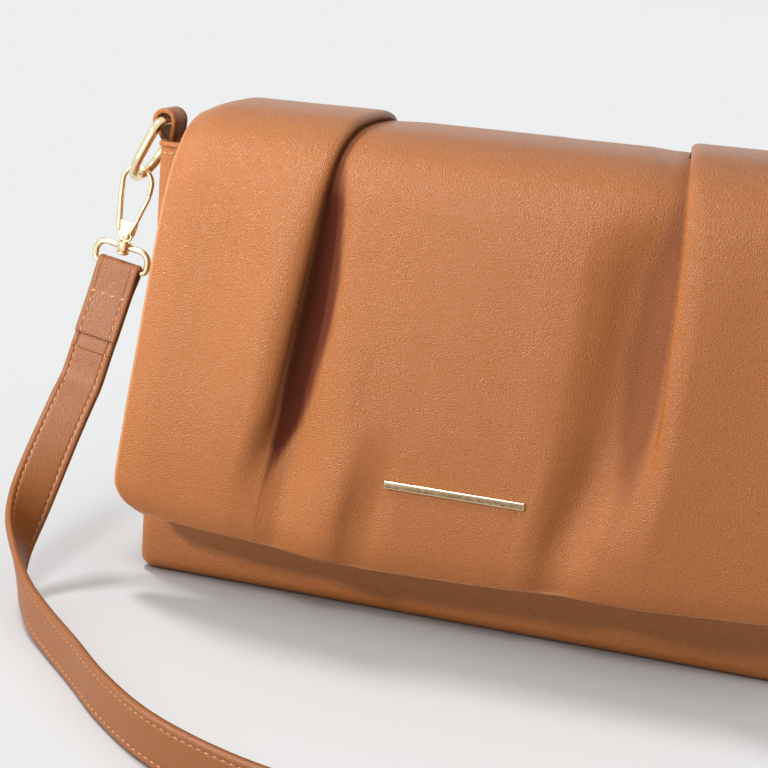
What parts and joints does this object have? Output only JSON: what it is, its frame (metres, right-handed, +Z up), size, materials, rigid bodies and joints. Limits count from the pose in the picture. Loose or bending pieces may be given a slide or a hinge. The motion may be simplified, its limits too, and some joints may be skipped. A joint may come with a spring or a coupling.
{
  "type": "sling bag",
  "caption": "Soft padded flap bag with a lined compartment, side D-rings and a detachable flat shoulder strap on swivel hooks.",
  "frame": {"origin": "middle of the base's underside, on the surface the bag stands on", "axes": "+X along the bag to its right end seen from the front, -Y towards the flap's front, +Z up"},
  "size_m": [0.4289, 0.2403, 0.1915],
  "materials": {
    "leather": "satin, fine grain",
    "lining_cloth": "matte twill",
    "foam": "matte wadding",
    "gold_metal": "polished pale gold",
    "stiff_board": "matte"
  },
  "bodies": {
    "bag": {"front_panel": "leather", "back_panel": "leather", "base_panel": "leather", "base_board": "stiff_board", "left_gusset": "leather", "right_gusset": "leather", "lining": "lining_cloth", "mouth_facing": "leather", "slip_pocket": "lining_cloth", "flap_root": "leather", "snap_socket": "gold_metal", "left_tab": "leather", "right_tab": "leather", "strap": "leather"},
    "flap_top": {"flap_top_leather": "leather", "flap_top_padding": "foam", "flap_top_lining": "lining_cloth"},
    "flap_front": {"flap_front_leather": "leather", "flap_front_padding": "foam", "flap_front_lining": "lining_cloth", "front_bar": "gold_metal", "snap_stud": "gold_metal"},
    "left_ring": {"left_ring": "gold_metal"},
    "left_clip": {"left_loop": "gold_metal", "left_strap_end": "leather"},
    "left_hook": {"left_hook": "gold_metal", "left_gate_pin": "gold_metal"},
    "left_gate": {"left_gate": "gold_metal"},
    "right_ring": {"right_ring": "gold_metal"},
    "right_clip": {"right_loop": "gold_metal", "right_strap_end": "leather"},
    "right_hook": {"right_hook": "gold_metal", "right_gate_pin": "gold_metal"},
    "right_gate": {"right_gate": "gold_metal"}
  },
  "joints": [
    {"name": "flap_hinge", "type": "hinge", "parent": "bag", "child": "flap_top", "pos_m": [0, 0.03213, 0.1786], "axis": [-1, 0, 0], "range_deg": [0, 180]},
    {"name": "flap_front_fold", "type": "hinge", "parent": "flap_top", "child": "flap_front", "pos_m": [0, -0.0405, 0.1809], "axis": [-1, 0, 0], "range_deg": [0, 170]},
    {"name": "left_ring_swing", "type": "hinge", "parent": "bag", "child": "left_ring", "pos_m": [-0.1371, -0.014, 0.1848], "axis": [0, 1, 0], "range_deg": [-6, 40]},
    {"name": "left_clip_swing", "type": "hinge", "parent": "left_ring", "child": "left_clip", "pos_m": [-0.14961, -0.014, 0.16087], "axis": [0, 1, 0], "range_deg": [-4, 40]},
    {"name": "left_swivel", "type": "hinge", "parent": "left_clip", "child": "left_hook", "pos_m": [-0.15504, -0.014, 0.13157], "axis": [0.1822, 0, 0.9833], "range_deg": [-40, 40]},
    {"name": "left_gate_spring", "type": "hinge", "parent": "left_hook", "child": "left_gate", "pos_m": [-0.153, -0.014, 0.13599], "axis": [0, -1, 0], "range_deg": [0, 22], "stiffness_Nm_per_rad": 0.004, "springref_deg": -11.46},
    {"name": "right_ring_swing", "type": "hinge", "parent": "bag", "child": "right_ring", "pos_m": [0.1371, -0.014, 0.1848], "axis": [0, -1, 0], "range_deg": [-6, 40]},
    {"name": "right_clip_swing", "type": "hinge", "parent": "right_ring", "child": "right_clip", "pos_m": [0.14961, -0.014, 0.16087], "axis": [0, -1, 0], "range_deg": [-4, 40]},
    {"name": "right_swivel", "type": "hinge", "parent": "right_clip", "child": "right_hook", "pos_m": [0.15504, -0.014, 0.13157], "axis": [-0.1822, 0, 0.9833], "range_deg": [-40, 40]},
    {"name": "right_gate_spring", "type": "hinge", "parent": "right_hook", "child": "right_gate", "pos_m": [0.153, -0.014, 0.13599], "axis": [0, 1, 0], "range_deg": [0, 22], "stiffness_Nm_per_rad": 0.004, "springref_deg": -11.46}
  ],
  "couplings": [
    {"joint": "flap_front_fold", "follows": "flap_hinge", "ratio": 0.9444}
  ]
}
